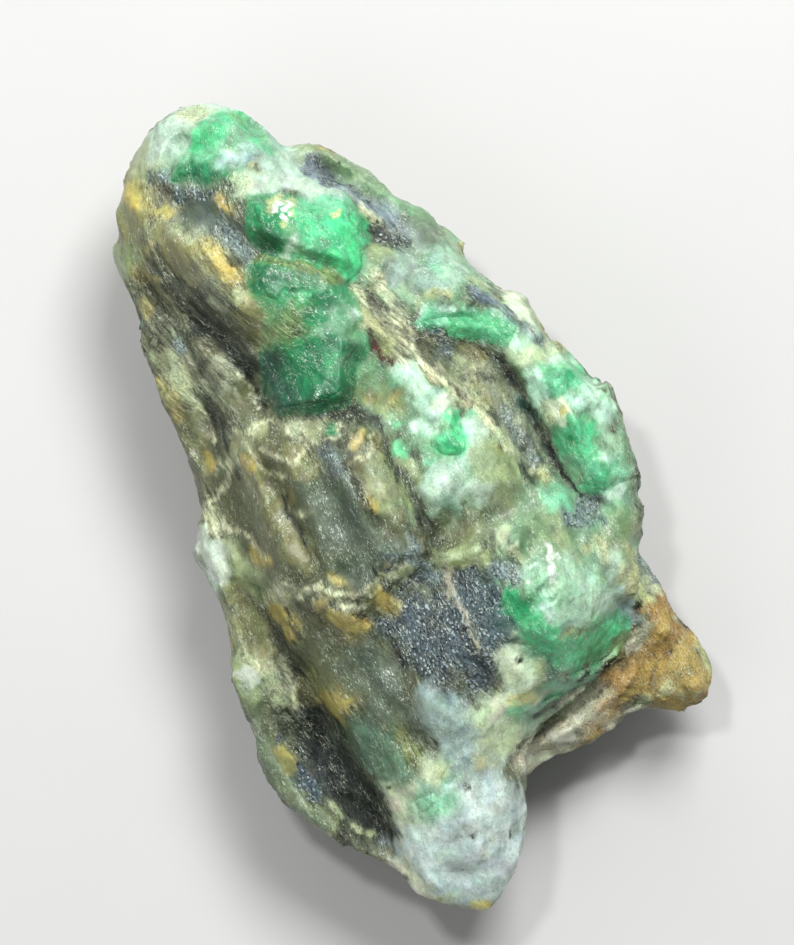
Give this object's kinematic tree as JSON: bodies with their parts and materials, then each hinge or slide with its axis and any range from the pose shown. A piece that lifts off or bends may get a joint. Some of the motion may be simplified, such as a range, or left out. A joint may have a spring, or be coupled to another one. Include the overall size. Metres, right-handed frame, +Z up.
{
  "type": "emerald in matrix",
  "caption": "Hand specimen of green emerald crystals set in brown mica schist and pale quartz, lying on its back.",
  "frame": {"origin": "middle of the stone's plan, on the plane it rests on", "axes": "+Y along the stone's length towards the emerald-capped head, +Z up out of the face with the crystals, +X across"},
  "size_m": [0.0392, 0.072, 0.0244],
  "materials": {
    "schist": "glittering brown-grey schist with pale quartz and ochre stains",
    "deep_emerald": "glassy, cloudy deep green",
    "emerald": "glassy, cloudy green",
    "bright_emerald": "glassy, cloudy bright green",
    "pale_emerald": "glassy, cloudy pale green"
  },
  "bodies": {
    "root": {"matrix": "schist", "emerald_main": "deep_emerald", "emerald_crown": "emerald", "emerald_ridge": "emerald", "emerald_pocket": "bright_emerald", "emerald_shoulder": "pale_emerald", "emerald_lobe": "emerald", "emerald_chip": "pale_emerald"}
  },
  "joints": []
}
